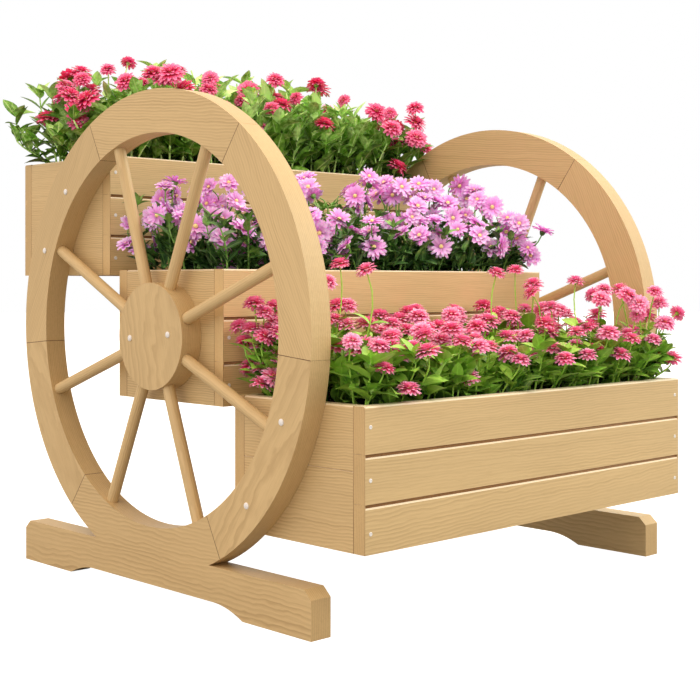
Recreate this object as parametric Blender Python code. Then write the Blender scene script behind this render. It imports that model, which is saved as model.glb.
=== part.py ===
"""Three-tier wagon-wheel planter.

Three open plank boxes climb from front to back between two fixed wooden wagon
wheels. Each wheel has five loose felloes, a sixth felloe cut in one board with
its long foot, eight dowel spokes in blind sockets, and a flat hub disc.

Frame: +X along the box fronts, +Y to the rear, +Z up. The origin is on the
ground, under the middle of the whole planter. Lengths are in metres.
"""
import math

import bmesh
import bpy

# Clearance kept between neighbouring solids.
GAP = 0.0003

# Boxes.
BOX_WIDTH = 0.6114
BOX_DEPTH = 0.220
BOARD = 0.017
FLOOR_BOARD = 0.012
FLOOR_RISE = 0.004
GROOVE_HEIGHT = 0.0034
GROOVE_DEPTH = 0.0055
EDGE_CHAMFER = 0.0017
SEAM_WIDTH = 0.0012
LOWER_BOARD = 0.054
SOIL_DROP = 0.016
SOIL_CROWN = 0.008
# Each box: name, centre along Y, underside height, rim height, height of the seam in
# its side walls (0 for none).
TIERS = (
    ("front", -0.2425, 0.0965, 0.2560, 0.1850),
    ("middle", 0.0, 0.2397, 0.4055, 0.0),
    ("top", 0.2425, 0.3994, 0.5597, 0.0),
)

# Wheels and feet. Angles are in degrees, from the front horizontal upwards.
WHEEL_THICKNESS = 0.029
WHEEL_INNER_FACE = BOX_WIDTH / 2 + GAP
WHEEL_CENTRE = 0.3303
RIM_OUTER = 0.300
RIM_INNER = 0.2455
SEAMS = (298, 355, 54, 117, 185, 233)
FOOT_SEAMS = (233, 298)
ARC_STEP = 2.5
HUB_CENTRE = 0.3220
HUB_RADIUS = 0.067
HUB_SIDES = 72
SPOKES = (20.5, 66, 109, 153.5, 199, 245.5, 291, 336)
SPOKE_RADIUS = 0.0076
SPOKE_OFFSET = 0.0035
SPOKE_SIDES = 20
SOCKET_DEPTH = 0.006
FOOT_LENGTH = 0.599
FOOT_HEIGHT = 0.055
FOOT_CHAMFER = (0.0115, 0.0105)
ARCH_HEIGHT = 0.013
PAD_EDGE = 0.182
ARCH_EDGE = 0.127
FALL_STEPS = 8

# Planting, as plain mounds that spread over the rim of the box below them.
MOUND_SIDE = 0.3042
MOUND_EAVE = 0.004
MOUND_TAPER = 0.035
MOUND_CROWN = (0.93, 0.75)
# Each mound: top height, front edge, rear edge.
MOUNDS = {
    "front": (0.410, -0.362, -0.118),
    "middle": (0.545, -0.125, 0.118),
    "top": (0.715, 0.124, 0.362),
}


def remove_everything():
    for item in list(bpy.data.objects):
        bpy.data.objects.remove(item, do_unlink=True)


def principled(name, colour, roughness):
    material = bpy.data.materials.new(name)
    material.use_nodes = True
    shader = material.node_tree.nodes["Principled BSDF"]
    shader.inputs["Base Color"].default_value = (*colour, 1.0)
    shader.inputs["Roughness"].default_value = roughness
    shader.inputs["Metallic"].default_value = 0.0
    material.diffuse_color = (*colour, 1.0)
    return material


def add_object(name, mesh, location, material, smooth_angle=None):
    item = bpy.data.objects.new(name, mesh)
    item.location = location
    if not mesh.materials:
        mesh.materials.append(material)
    if smooth_angle is not None:
        mesh.shade_smooth()
        mesh.set_sharp_from_angle(angle=math.radians(smooth_angle))
    bpy.context.scene.collection.objects.link(item)
    return item


def mesh_from(name, build):
    """Make a mesh by calling build(bm), with its faces pointing out."""
    bm = bmesh.new()
    build(bm)
    bmesh.ops.recalc_face_normals(bm, faces=bm.faces)
    if bm.calc_volume(signed=True) < 0:
        bmesh.ops.reverse_faces(bm, faces=bm.faces)
    mesh = bpy.data.meshes.new(name)
    bm.to_mesh(mesh)
    bm.free()
    return mesh


def extruded(name, outline, direction):
    """A prism: the closed outline, given as 3-D points, pushed along direction."""

    def build(bm):
        face = bm.faces.new([bm.verts.new(point) for point in outline])
        pushed = bmesh.ops.extrude_face_region(bm, geom=[face])["geom"]
        corners = [part for part in pushed if isinstance(part, bmesh.types.BMVert)]
        bmesh.ops.translate(bm, verts=corners, vec=direction)

    return mesh_from(name, build)


def block_mesh(name, low, high):
    outline = [(low[0], low[1], low[2]), (high[0], low[1], low[2]),
               (high[0], high[1], low[2]), (low[0], high[1], low[2])]
    return extruded(name, outline, (0, 0, high[2] - low[2]))


def polar(radius, degrees, centre_height):
    """The (y, z) point on a circle, with 0 degrees towards the front."""
    turn = math.radians(degrees)
    return (-radius * math.cos(turn), centre_height + radius * math.sin(turn))


def arc(radius, start, end, centre_height):
    steps = max(2, round(abs(end - start) / ARC_STEP))
    return [polar(radius, start + (end - start) * i / steps, centre_height)
            for i in range(steps + 1)]


def wheel_piece(name, outline):
    """Extrude a (y, z) outline through the wheel's thickness, centred on X."""
    face = [(-WHEEL_THICKNESS / 2, y, z) for y, z in outline]
    return extruded(name, face, (WHEEL_THICKNESS, 0, 0))


def felloe_outline(start, end):
    """One rim segment, held back by half the clearance at both of its seams."""
    half_gap = math.degrees(GAP / 2 / RIM_INNER)
    outer = arc(RIM_OUTER, start + half_gap, end - half_gap, WHEEL_CENTRE)
    inner = arc(RIM_INNER, end - half_gap, start + half_gap, WHEEL_CENTRE)
    return outer + inner


def arch_end(side):
    """The foot's underside where the arch bends down to a pad; side is -1 or +1 in Y."""
    points = []
    for i in range(FALL_STEPS + 1):
        t = i / FALL_STEPS
        across = ARCH_EDGE + (PAD_EDGE - ARCH_EDGE) * t
        points.append((side * across, ARCH_HEIGHT * (1 - t * t)))
    return points


def foot_outline():
    """The foot board and the lowest felloe, cut as one outline."""
    notch = math.degrees(math.asin((WHEEL_CENTRE - FOOT_HEIGHT) / RIM_OUTER))
    half_gap = math.degrees(GAP / 2 / RIM_INNER)
    rear_seam = FOOT_SEAMS[0] + half_gap
    front_seam = FOOT_SEAMS[1] - half_gap
    half = FOOT_LENGTH / 2
    cut_y, cut_z = FOOT_CHAMFER
    underside = [(-half, 0.0)] + arch_end(-1)[::-1] + arch_end(1)
    rear_end = [(half, 0.0), (half, FOOT_HEIGHT - cut_z), (half - cut_y, FOOT_HEIGHT)]
    rear_rise = arc(RIM_OUTER, 180 + notch, rear_seam, WHEEL_CENTRE)
    inner_arc = arc(RIM_INNER, rear_seam, front_seam, WHEEL_CENTRE)
    front_fall = arc(RIM_OUTER, front_seam, 360 - notch, WHEEL_CENTRE)
    front_end = [(-half + cut_y, FOOT_HEIGHT), (-half, FOOT_HEIGHT - cut_z)]
    return underside + rear_end + rear_rise + inner_arc + front_fall + front_end


def spoke_reach(degrees):
    """Distance from the hub's centre to the rim's inner face, along a spoke."""
    turn = math.radians(degrees)
    offset = WHEEL_CENTRE - HUB_CENTRE
    along = offset * math.sin(turn)
    across = offset * math.cos(turn)
    return along + math.sqrt(RIM_INNER ** 2 - across ** 2)


def rod_mesh(name, radius, start, end, degrees):
    """A round rod on a spoke's line, between two distances from the hub's centre."""

    def build(bm):
        bmesh.ops.create_cone(bm, cap_ends=True, segments=SPOKE_SIDES, radius1=radius,
                              radius2=radius, depth=end - start)
        bmesh.ops.translate(bm, verts=bm.verts, vec=(0, 0, (start + end) / 2))
        tilt = math.radians(degrees - 90)
        for vert in bm.verts:
            across, along = vert.co.y, vert.co.z
            vert.co.y = across * math.cos(tilt) + along * math.sin(tilt)
            vert.co.z = HUB_CENTRE - across * math.sin(tilt) + along * math.cos(tilt)

    return mesh_from(name, build)


def socket_cutter(degrees):
    """A rod, wider and longer than the spoke, that cuts both its sockets."""
    start = HUB_RADIUS - SOCKET_DEPTH
    end = spoke_reach(degrees) + SOCKET_DEPTH
    return rod_mesh("socket_cutter", SPOKE_RADIUS + GAP, start, end, degrees)


def subtract(item, mesh, location):
    """Cut a hidden copy of the mesh out of the item."""
    cutter = bpy.data.objects.new(item.name + "_cutter", mesh)
    cutter.location = location
    cutter.hide_render = True
    cutter.display_type = "WIRE"
    bpy.context.scene.collection.objects.link(cutter)
    cut = item.modifiers.new("socket", "BOOLEAN")
    cut.operation = "DIFFERENCE"
    cut.solver = "EXACT"
    cut.object = cutter


def inside(angle, start, end):
    return start < angle < end or start < angle + 360 < end


def make_wheel(side, centre_x, wood):
    """All the pieces of one wheel; its sixth felloe, the lowest, is part of the foot."""
    place = (centre_x, 0, 0)
    spoke_place = (centre_x + math.copysign(SPOKE_OFFSET, centre_x), 0, 0)
    for number in range(len(SEAMS)):
        start = SEAMS[number]
        end = SEAMS[(number + 1) % len(SEAMS)]
        if end < start:
            end += 360
        if (start, end) == FOOT_SEAMS:
            name = f"{side}_foot"
            mesh = wheel_piece(name, foot_outline())
        else:
            name = f"{side}_felloe_{number + 1}"
            mesh = wheel_piece(name, felloe_outline(start, end))
        rim_piece = add_object(name, mesh, place, wood, smooth_angle=20)
        for spoke in SPOKES:
            if inside(spoke, start, end):
                subtract(rim_piece, socket_cutter(spoke), spoke_place)
    ring = [polar(HUB_RADIUS, 360 * i / HUB_SIDES, HUB_CENTRE) for i in range(HUB_SIDES)]
    hub = add_object(f"{side}_hub", wheel_piece("hub", ring), place, wood, smooth_angle=20)
    for number, spoke in enumerate(SPOKES, start=1):
        subtract(hub, socket_cutter(spoke), spoke_place)
        start = HUB_RADIUS - SOCKET_DEPTH + GAP
        end = spoke_reach(spoke) + SOCKET_DEPTH - GAP
        mesh = rod_mesh("spoke", SPOKE_RADIUS, start, end, spoke)
        add_object(f"{side}_spoke_{number}", mesh, spoke_place, wood, smooth_angle=30)


def eased_top(top):
    """Outer-face points, as (depth, z), of an upper edge with a small chamfer."""
    return [(0.0, top - EDGE_CHAMFER), (EDGE_CHAMFER, top)]


def board_outline(bottom, top, is_top_board, grooves=()):
    """Section of a wall or board, as (depth from the outer face, z) points.

    A groove is a square rebate above an eased edge; one also runs along the top of
    every board that has another board above it.
    """
    section = [(BOARD, bottom), (0.0, bottom)]
    for groove in grooves:
        section += eased_top(groove - GROOVE_HEIGHT)
        section += [(GROOVE_DEPTH, groove - GROOVE_HEIGHT), (GROOVE_DEPTH, groove), (0.0, groove)]
    if is_top_board:
        section += eased_top(top)
    else:
        section += eased_top(top - GROOVE_HEIGHT)
        section += [(GROOVE_DEPTH, top - GROOVE_HEIGHT), (GROOVE_DEPTH, top)]
    return section + [(BOARD, top)]


def wall_along_x(name, section, outer_y, inward, material):
    """Extrude a wall section along X; inward is +1 for a front wall, -1 for a rear one."""
    half = BOX_WIDTH / 2
    outline = [(-half, outer_y + inward * depth, z) for depth, z in section]
    add_object(name, extruded(name, outline, (BOX_WIDTH, 0, 0)), (0, 0, 0), material)


def side_wall(name, outer_x, inward, low_y, high_y, bottom, top, seam, material):
    """One side wall between the front and rear walls; a seam of 0 leaves it plain."""
    half = SEAM_WIDTH / 2
    section = [(BOARD, bottom), (0.0, bottom)]
    if seam:
        section += [(0.0, seam - half), (SEAM_WIDTH, seam), (0.0, seam + half)]
    section += eased_top(top) + [(BOARD, top)]
    outline = [(outer_x + inward * depth, low_y, z) for depth, z in section]
    mesh = extruded(name, outline, (0, high_y - low_y, 0))
    add_object(name, mesh, (0, 0, 0), material)


def make_box(tier, centre_y, bottom, top, seam, wood):
    """The boards of one box: three in front, a grooved back, two sides and a floor."""
    front = centre_y - BOX_DEPTH / 2
    rear = centre_y + BOX_DEPTH / 2
    joints = [bottom + LOWER_BOARD, bottom + 2 * LOWER_BOARD]
    levels = [bottom] + joints + [top]
    for number in range(3):
        low = levels[number]
        is_top = number == 2
        high = levels[number + 1] if is_top else levels[number + 1] - GAP
        name = f"{tier}_front_board_{3 - number}"
        wall_along_x(name, board_outline(low, high, is_top), front, 1, wood)
    back = board_outline(bottom, top, True, grooves=joints)
    wall_along_x(f"{tier}_back", back, rear, -1, wood)
    low_y = front + BOARD + GAP
    high_y = rear - BOARD - GAP
    half = BOX_WIDTH / 2
    side_wall(f"{tier}_left_side", -half, 1, low_y, high_y, bottom, top, seam, wood)
    side_wall(f"{tier}_right_side", half, -1, low_y, high_y, bottom, top, seam, wood)
    inner_x = half - BOARD - GAP
    floor_z = bottom + FLOOR_RISE
    floor = block_mesh(f"{tier}_floor", (-inner_x, low_y, floor_z),
                       (inner_x, high_y, floor_z + FLOOR_BOARD))
    add_object(f"{tier}_floor", floor, (0, 0, 0), wood)
    return (inner_x, low_y, high_y, floor_z + FLOOR_BOARD + GAP)


def rings_mesh(name, rings):
    """A closed solid through stacked outlines that all have the same point count."""

    def build(bm):
        rows = [[bm.verts.new(point) for point in ring] for ring in rings]
        count = len(rows[0])
        for lower, upper in zip(rows, rows[1:]):
            for i in range(count):
                j = (i + 1) % count
                bm.faces.new((lower[i], lower[j], upper[j], upper[i]))
        bm.faces.new(list(reversed(rows[0])))
        bm.faces.new(rows[-1])

    return mesh_from(name, build)


def rectangle(half_x, low_y, high_y, z):
    return [(-half_x, low_y, z), (half_x, low_y, z), (half_x, high_y, z), (-half_x, high_y, z)]


def make_soil(tier, room, top, earth):
    """A low bed of soil that fills the box to a little under its rim."""
    half_x, low_y, high_y, base = room
    level = top - SOIL_DROP
    crown = level + SOIL_CROWN
    ease = 4 * SOIL_CROWN
    rings = [rectangle(half_x, low_y, high_y, base),
             rectangle(half_x, low_y, high_y, level),
             rectangle(half_x - ease, low_y + ease, high_y - ease, crown)]
    add_object(f"{tier}_soil", rings_mesh("soil", rings), (0, 0, 0), earth)
    return crown


def make_planting(tier, room, rim, soil_top, foliage):
    """A plain mound in place of the plants, wider than the box above its rim."""
    top, low_y, high_y = MOUNDS[tier]
    half_x, inner_low, inner_high, _ = room
    shrink_x, shrink_y = MOUND_CROWN
    ease = (high_y - low_y) * (1 - shrink_y) / 2
    rings = [rectangle(half_x, inner_low, inner_high, soil_top + GAP),
             rectangle(half_x, inner_low, inner_high, rim + GAP),
             rectangle(MOUND_SIDE, low_y, high_y, rim + MOUND_EAVE),
             rectangle(MOUND_SIDE, low_y, high_y, top - MOUND_TAPER),
             rectangle(MOUND_SIDE * shrink_x, low_y + ease, high_y - ease, top)]
    add_object(f"{tier}_planting", rings_mesh("planting", rings), (0, 0, 0), foliage)


def main():
    remove_everything()
    wood = principled("cedar", (0.62, 0.43, 0.24), 0.62)
    earth = principled("soil", (0.05, 0.032, 0.02), 0.95)
    foliage = principled("foliage", (0.08, 0.20, 0.04), 0.7)
    wheel_x = WHEEL_INNER_FACE + WHEEL_THICKNESS / 2
    make_wheel("left", -wheel_x, wood)
    make_wheel("right", wheel_x, wood)
    for tier, centre_y, bottom, top, seam in TIERS:
        room = make_box(tier, centre_y, bottom, top, seam, wood)
        soil_top = make_soil(tier, room, top, earth)
        make_planting(tier, room, top, soil_top, foliage)


main()
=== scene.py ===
"""Looks of the three-tier wagon-wheel planter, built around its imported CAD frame.

The wooden CAD nodes stay and get eased edges and a solid wood-grain material whose
fibres follow each board. The soil stays too, with its own material. Bolts, screws, joint
lines, stems, leaves and flowers are made here. Lengths are in metres, in the frame's axes.
"""
import math
import random

import bpy
import numpy as np
from mathutils import Matrix, Vector


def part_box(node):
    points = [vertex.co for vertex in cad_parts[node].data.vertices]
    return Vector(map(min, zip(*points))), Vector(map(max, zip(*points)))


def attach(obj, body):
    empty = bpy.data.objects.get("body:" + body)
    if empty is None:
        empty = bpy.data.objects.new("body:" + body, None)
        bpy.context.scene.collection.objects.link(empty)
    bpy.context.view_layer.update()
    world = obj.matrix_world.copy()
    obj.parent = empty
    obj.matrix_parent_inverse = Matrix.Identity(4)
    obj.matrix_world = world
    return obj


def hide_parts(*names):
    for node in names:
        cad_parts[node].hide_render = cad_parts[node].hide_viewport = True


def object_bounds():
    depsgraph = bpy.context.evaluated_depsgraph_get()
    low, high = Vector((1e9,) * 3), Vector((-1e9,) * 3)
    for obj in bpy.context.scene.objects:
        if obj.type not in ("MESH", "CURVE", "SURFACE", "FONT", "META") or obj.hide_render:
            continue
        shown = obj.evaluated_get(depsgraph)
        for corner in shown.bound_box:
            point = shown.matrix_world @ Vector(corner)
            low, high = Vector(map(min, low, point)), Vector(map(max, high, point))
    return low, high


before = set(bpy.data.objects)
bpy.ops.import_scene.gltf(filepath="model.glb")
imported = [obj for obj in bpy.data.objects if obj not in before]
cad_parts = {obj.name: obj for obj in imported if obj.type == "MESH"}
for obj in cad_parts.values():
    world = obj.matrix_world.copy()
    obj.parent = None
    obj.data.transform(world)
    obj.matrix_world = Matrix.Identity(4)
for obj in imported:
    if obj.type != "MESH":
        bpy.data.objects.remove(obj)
CAD_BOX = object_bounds()

TIERS = ("front", "middle", "top")
SIDES = {"left": -1.0, "right": 1.0}
# The corners of each tier's back board.
BOX = {tier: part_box(f"{tier}_back") for tier in TIERS}
UP = (0.0, 0.0, 1.0)
BLACK = (0.0, 0.0, 0.0)
WHITE = (1.0, 1.0, 1.0)
HALF = (0.5, 0.5, 0.5)


# ---- node helpers

class Nodes:
    """A short way to write the node tree of a material or a world."""

    def __init__(self, owner):
        owner.use_nodes = True
        self.tree = owner.node_tree
        self.shader = self.tree.nodes.get("Principled BSDF")

    def add(self, kind, **values):
        node = self.tree.nodes.new(kind)
        for name, value in values.items():
            setattr(node, name, value)
        return node

    def link(self, source, target):
        self.tree.links.new(source, target)

    def feed(self, socket, value):
        if isinstance(value, bpy.types.NodeSocket):
            self.link(value, socket)
        else:
            socket.default_value = value

    def math(self, operation, a, b=0.0, clamp=False):
        node = self.add("ShaderNodeMath", operation=operation, use_clamp=clamp)
        self.feed(node.inputs[0], a)
        self.feed(node.inputs[1], b)
        return node.outputs[0]

    def vector(self, operation, a, b=(0.0, 0.0, 0.0)):
        node = self.add("ShaderNodeVectorMath", operation=operation)
        self.feed(node.inputs[0], a)
        self.feed(node.inputs[1], b)
        return node.outputs["Value" if operation in ("LENGTH", "DOT_PRODUCT") else "Vector"]

    def spot(self):
        """The shaded point's place in the object's own axes."""
        return self.add("ShaderNodeTexCoord").outputs["Object"]

    def value_of(self, attribute):
        return self.add("ShaderNodeAttribute", attribute_name=attribute).outputs["Fac"]

    def noise(self, place, scale, detail=2.0, roughness=0.5, give="Fac", take="Vector"):
        """Noise over a place. "Color" gives three noises at once, and "W" takes one value."""
        node = self.add("ShaderNodeTexNoise", noise_dimensions="1D" if take == "W" else "3D")
        self.feed(node.inputs[take], place)
        node.inputs["Scale"].default_value = scale
        node.inputs["Detail"].default_value = detail
        node.inputs["Roughness"].default_value = roughness
        return node.outputs[give]

    def stretched_noise(self, place, stretch, detail=2.0, give="Fac"):
        """Noise with its own scale along each axis; a small one draws it out."""
        return self.noise(self.vector("MULTIPLY", place, stretch), 1.0, detail, give=give)

    def ramp(self, factor, stops):
        node = self.add("ShaderNodeValToRGB")
        self.feed(node.inputs["Fac"], factor)
        elements = node.color_ramp.elements
        while len(elements) < len(stops):
            elements.new(0.5)
        for element, (place, colour) in zip(elements, stops):
            element.position = place
            element.color = (*colour, 1.0)
        return node.outputs["Color"]

    def mix_value(self, factor, a, b):
        node = self.add("ShaderNodeMix", data_type="FLOAT")
        for socket, value in zip((0, 2, 3), (factor, a, b)):
            self.feed(node.inputs[socket], value)
        return node.outputs[0]

    def mix(self, blend, factor, a, b):
        node = self.add("ShaderNodeMix", data_type="RGBA", blend_type=blend)
        for socket, value in zip((0, 6, 7), (factor, a, b)):
            self.feed(node.inputs[socket], value)
        return node.outputs[2]

    def colour(self, source):
        self.link(source, self.shader.inputs["Base Color"])

    def varied(self, noise, share, least):
        """A share of the noise on top of the least value."""
        return self.math("ADD", self.math("MULTIPLY", noise, share), least)

    def surface(self, roughness, specular=0.5):
        self.feed(self.shader.inputs["Roughness"], roughness)
        self.shader.inputs["Specular IOR Level"].default_value = specular

    def glow_through(self, share, reach):
        """Let light spread a few millimetres inside, as it does in petals and leaves."""
        self.shader.inputs["Subsurface Weight"].default_value = share
        self.shader.inputs["Subsurface Radius"].default_value = reach
        self.shader.inputs["Subsurface Scale"].default_value = 0.008

    def bump(self, height, strength, distance):
        node = self.add("ShaderNodeBump")
        self.feed(node.inputs["Height"], height)
        node.inputs["Strength"].default_value = strength
        node.inputs["Distance"].default_value = distance
        self.link(node.outputs["Normal"], self.shader.inputs["Normal"])


def add_object(name, data):
    made = bpy.data.objects.new(name, data)
    bpy.context.scene.collection.objects.link(made)
    return made


def new_material(name):
    """A material and its node helper."""
    material = bpy.data.materials.new(name)
    return material, Nodes(material)


# ---- wood

LIGHT_WOOD = (0.705, 0.512, 0.250)
LATE_WOOD = (0.385, 0.236, 0.094)
# The pale colour of the painted highlight on the wood's upward faces.
PAINTED_HIGHLIGHT_WOOD = (0.98, 0.86, 0.64)
END_GRAIN = (0.86, 0.78, 0.68)
PITH_DEPTH = 0.12
EDGE_ANGLE = 34.0


def wood_material(name, grain, depth, sheet, seed, figure=0.5, tint=1.0,
                  rings_per_metre=400.0, worn=0.0):
    """Solid wood: growth rings round a far pith line, with fibres along the grain.

    grain is the fibre direction, depth points from the board towards its pith, and sheet
    is the direction of its thickness, or None for a round rod. figure is how plainly each
    ring's late wood shows, tint how light the board is, and worn how far its upward
    faces are mixed towards a pale colour, a painted highlight for the light that falls on
    them. On a board's edges the rings run parallel to its faces.
    """
    material, n = new_material(name)
    dice = random.Random(seed)
    grain, depth, across = board_axes(Vector(grain), Vector(depth))
    grain_seen = tuple(grain)
    tilt = across * dice.uniform(-0.015, 0.015) + depth * dice.uniform(-0.03, 0.03)
    grain, depth, across = board_axes(grain + tilt, depth)
    spot = n.spot()
    board = n.add("ShaderNodeMapping")
    n.feed(board.inputs["Vector"], spot)
    board.inputs["Rotation"].default_value = Matrix((grain, across, depth)).to_euler()
    board.inputs["Location"].default_value = (dice.uniform(-5, 5), dice.uniform(-0.02, 0.02), 0)
    place = board.outputs["Vector"]
    normal = n.add("ShaderNodeNewGeometry").outputs["Normal"]

    radius = pith_distance(n, place)
    edge_on = 0.0
    if sheet is not None:
        face_on = n.math("ABSOLUTE", n.vector("DOT_PRODUCT", normal, sheet))
        edge_on = n.math("LESS_THAN", face_on, 0.5)
        level = n.math("ADD", n.vector("DOT_PRODUCT", spot, sheet), 1.0)
        level = n.math("ADD", level, n.math("MULTIPLY", radius, 0.06))
        radius = n.mix_value(edge_on, radius, level)
    line = n.math("MULTIPLY", late_wood(n, place, radius, rings_per_metre, edge_on), figure)

    fine = n.stretched_noise(place, (12.0, 520.0, 520.0))
    brushed = n.stretched_noise(place, (45.0, 1500.0, 1500.0), detail=1.0)
    cloud = n.stretched_noise(place, (3.0, 16.0, 16.0))
    pale = [tint * part for part in LIGHT_WOOD]
    base = n.ramp(cloud, [(0.30, [0.93 * part for part in pale]), (0.70, pale)])
    colour = n.mix("MIX", line, base, (*LATE_WOOD, 1.0))
    fibre = n.ramp(fine, [(0.25, (0.86, 0.84, 0.80)), (0.60, WHITE)])
    dots = n.ramp(brushed, [(0.28, (0.80, 0.76, 0.70)), (0.45, WHITE)])
    colour = n.mix("MULTIPLY", 0.5, colour, fibre)
    colour = n.mix("MULTIPLY", 0.35, colour, dots)

    # Painted highlight: faces that point upwards are mixed towards a pale colour, standing in for
    # the light that falls on them.
    upward = n.math("GREATER_THAN", n.vector("DOT_PRODUCT", normal, UP), 0.35)
    colour = n.mix("MIX", n.math("MULTIPLY", upward, worn), colour, (*PAINTED_HIGHLIGHT_WOOD, 1.0))
    end_on = n.math("POWER", n.math("ABSOLUTE", n.vector("DOT_PRODUCT", normal, grain_seen)), 4.0)
    n.colour(n.mix("MULTIPLY", n.math("MULTIPLY", end_on, 0.5), colour, (*END_GRAIN, 1.0)))
    n.surface(n.varied(fine, 0.18, 0.42), specular=0.42)
    relief = n.math("ADD", n.math("MULTIPLY", line, -0.6), n.math("MULTIPLY", fine, 0.8))
    n.bump(relief, 0.3, 0.0006)
    return material


def board_axes(grain, depth):
    """The unit grain, the unit depth square to it, and the direction across both."""
    grain = grain.normalized()
    depth = (depth - grain * depth.dot(grain)).normalized()
    return grain, depth, depth.cross(grain)


def pith_distance(n, place):
    """How far the point is from the pith line, which sways and waves a little."""
    sway = n.stretched_noise(place, (2.5, 8.0, 8.0), detail=1.0, give="Color")
    wave = n.stretched_noise(place, (26.0, 50.0, 50.0), give="Color")
    bends = [n.vector("MULTIPLY", n.vector("SUBTRACT", bend, HALF), (0.0, reach, reach))
             for bend, reach in ((sway, 0.014), (wave, 0.0045))]
    shifted = n.vector("ADD", place, n.vector("ADD", *bends))
    from_pith = n.vector("ADD", shifted, (0.0, 0.0, PITH_DEPTH))
    return n.vector("LENGTH", n.vector("MULTIPLY", from_pith, (0.0, 1.0, 1.0)))


def late_wood(n, place, radius, rings_per_metre, edge_on):
    """How dark each growth ring is: it deepens slowly, ends sharply, and fades in patches."""
    ring = n.math("FRACT", n.math("MULTIPLY", radius, rings_per_metre))
    late = n.ramp(ring, [(0.0, BLACK), (0.25, BLACK), (0.80, WHITE), (0.88, WHITE), (1.0, BLACK)])
    year = n.noise(radius, rings_per_metre * 0.55, detail=1.0, take="W")
    patchy = n.stretched_noise(place, (5.0, 22.0, 22.0), detail=1.0)
    uneven = n.math("ADD", patchy, n.math("MULTIPLY", n.math("SUBTRACT", year, 0.5), 0.8))
    plainness = n.ramp(uneven, [(0.30, (0.30, 0.30, 0.30)), (0.72, WHITE)])
    plainness = n.math("MAXIMUM", plainness, n.math("MULTIPLY", edge_on, 0.5))
    return n.math("MULTIPLY", late, plainness)


def ease_edges(node, width):
    """Round off a CAD piece's corners without touching its mesh."""
    bevel = node.modifiers.new("eased edges", "BEVEL")
    bevel.width = width
    bevel.segments = 2
    bevel.limit_method = "ANGLE"
    bevel.angle_limit = math.radians(EDGE_ANGLE)
    bevel.use_clamp_overlap = True
    bevel.harden_normals = True


def wear(node, material):
    node.data.materials.clear()
    node.data.materials.append(material)


def dress(name, grain, depth, sheet, seed, edge=0.0008, **look):
    """Give a wooden CAD node its own board of wood, and eased edges."""
    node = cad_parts[name]
    wear(node, wood_material(f"wood_{name}", grain, depth, sheet, seed, **look))
    ease_edges(node, edge)


def piece_centre(name):
    low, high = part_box(name)
    return (low + high) / 2


def wheel_centre():
    """The middle of the rim, from the box round its felloes."""
    ring = [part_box(f"left_felloe_{number}") for number in range(1, 6)]
    low_y = min(low.y for low, high in ring)
    high_y = max(high.y for low, high in ring)
    top = max(high.z for low, high in ring)
    radius = (high_y - low_y) / 2
    return Vector((piece_centre("left_felloe_1").x, (low_y + high_y) / 2, top - radius))


WHEEL_CENTRE = wheel_centre()
HUB_CENTRE = piece_centre("left_hub")
FELLOE_LOOKS = (
    dict(figure=0.38, tint=0.98), dict(figure=0.36, tint=1.04),
    dict(figure=0.52, tint=1.02, rings_per_metre=330.0), dict(figure=0.32, tint=0.96),
    dict(figure=0.38, tint=0.96),
)


def dress_wheels():
    """Felloes run along their chord, spokes along their length."""
    across = (1, 0, 0)
    for side, sign in SIDES.items():
        for number, look in enumerate(FELLOE_LOOKS, start=1):
            name = f"{side}_felloe_{number}"
            out = piece_centre(name) - WHEEL_CENTRE
            out.x = 0.0
            out.normalize()
            chord = Vector((0.0, -out.z, out.y))
            depth = Vector((-sign, 0.0, 0.0)) * 0.12 - out
            dress(name, chord, depth, across, seed=number + 10 * sign, edge=0.0009, **look)
        dress(f"{side}_foot", (0, 1, 0), (sign * 0.15, 0, 1.0), across, seed=31 * sign,
              edge=0.0010, figure=0.50, tint=0.98)
        dress(f"{side}_hub", (0, 0.25, 1), (sign * 0.12, 1.0, 0), across, seed=47 * sign,
              edge=0.0012, figure=0.34, tint=0.97)
        for number in range(1, 9):
            name = f"{side}_spoke_{number}"
            middle = piece_centre(name)
            along = middle - Vector((middle.x, HUB_CENTRE.y, HUB_CENTRE.z))
            dress(name, along, (1, 0, 0), None, seed=100 + number * sign, edge=0.0004,
                  figure=0.25)


# Middle and top front boards are painted lighter, standing in for the light that the flowers above
# them block.
BOARD_PAINTED_LIGHT = {"front": 1.0, "middle": 1.14, "top": 1.08}


def dress_boxes():
    """Every board of a box lies with its grain along its length."""
    along_x, along_y = (1, 0, 0), (0, 1, 0)
    for place, tier in enumerate(TIERS):
        base = 200 + 20 * place
        for number in range(1, 4):
            dress(f"{tier}_front_board_{number}", along_x, (0, 0.35, 1.0), along_y,
                  seed=base + number, edge=0.0005, figure=0.34, tint=BOARD_PAINTED_LIGHT[tier], worn=0.75)
        dress(f"{tier}_back", along_x, (0, 0.4, 1), along_y, seed=base + 5, figure=0.4)
        for side, sign in SIDES.items():
            dress(f"{tier}_{side}_side", along_y, (-0.2 * sign, 0, 1.0), along_x,
                  seed=base + 7 + sign, figure=0.52, rings_per_metre=430.0, worn=0.5)
        dress(f"{tier}_floor", along_x, (0, 0.5, 1), UP, seed=base + 10)


# ---- mesh building

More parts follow.
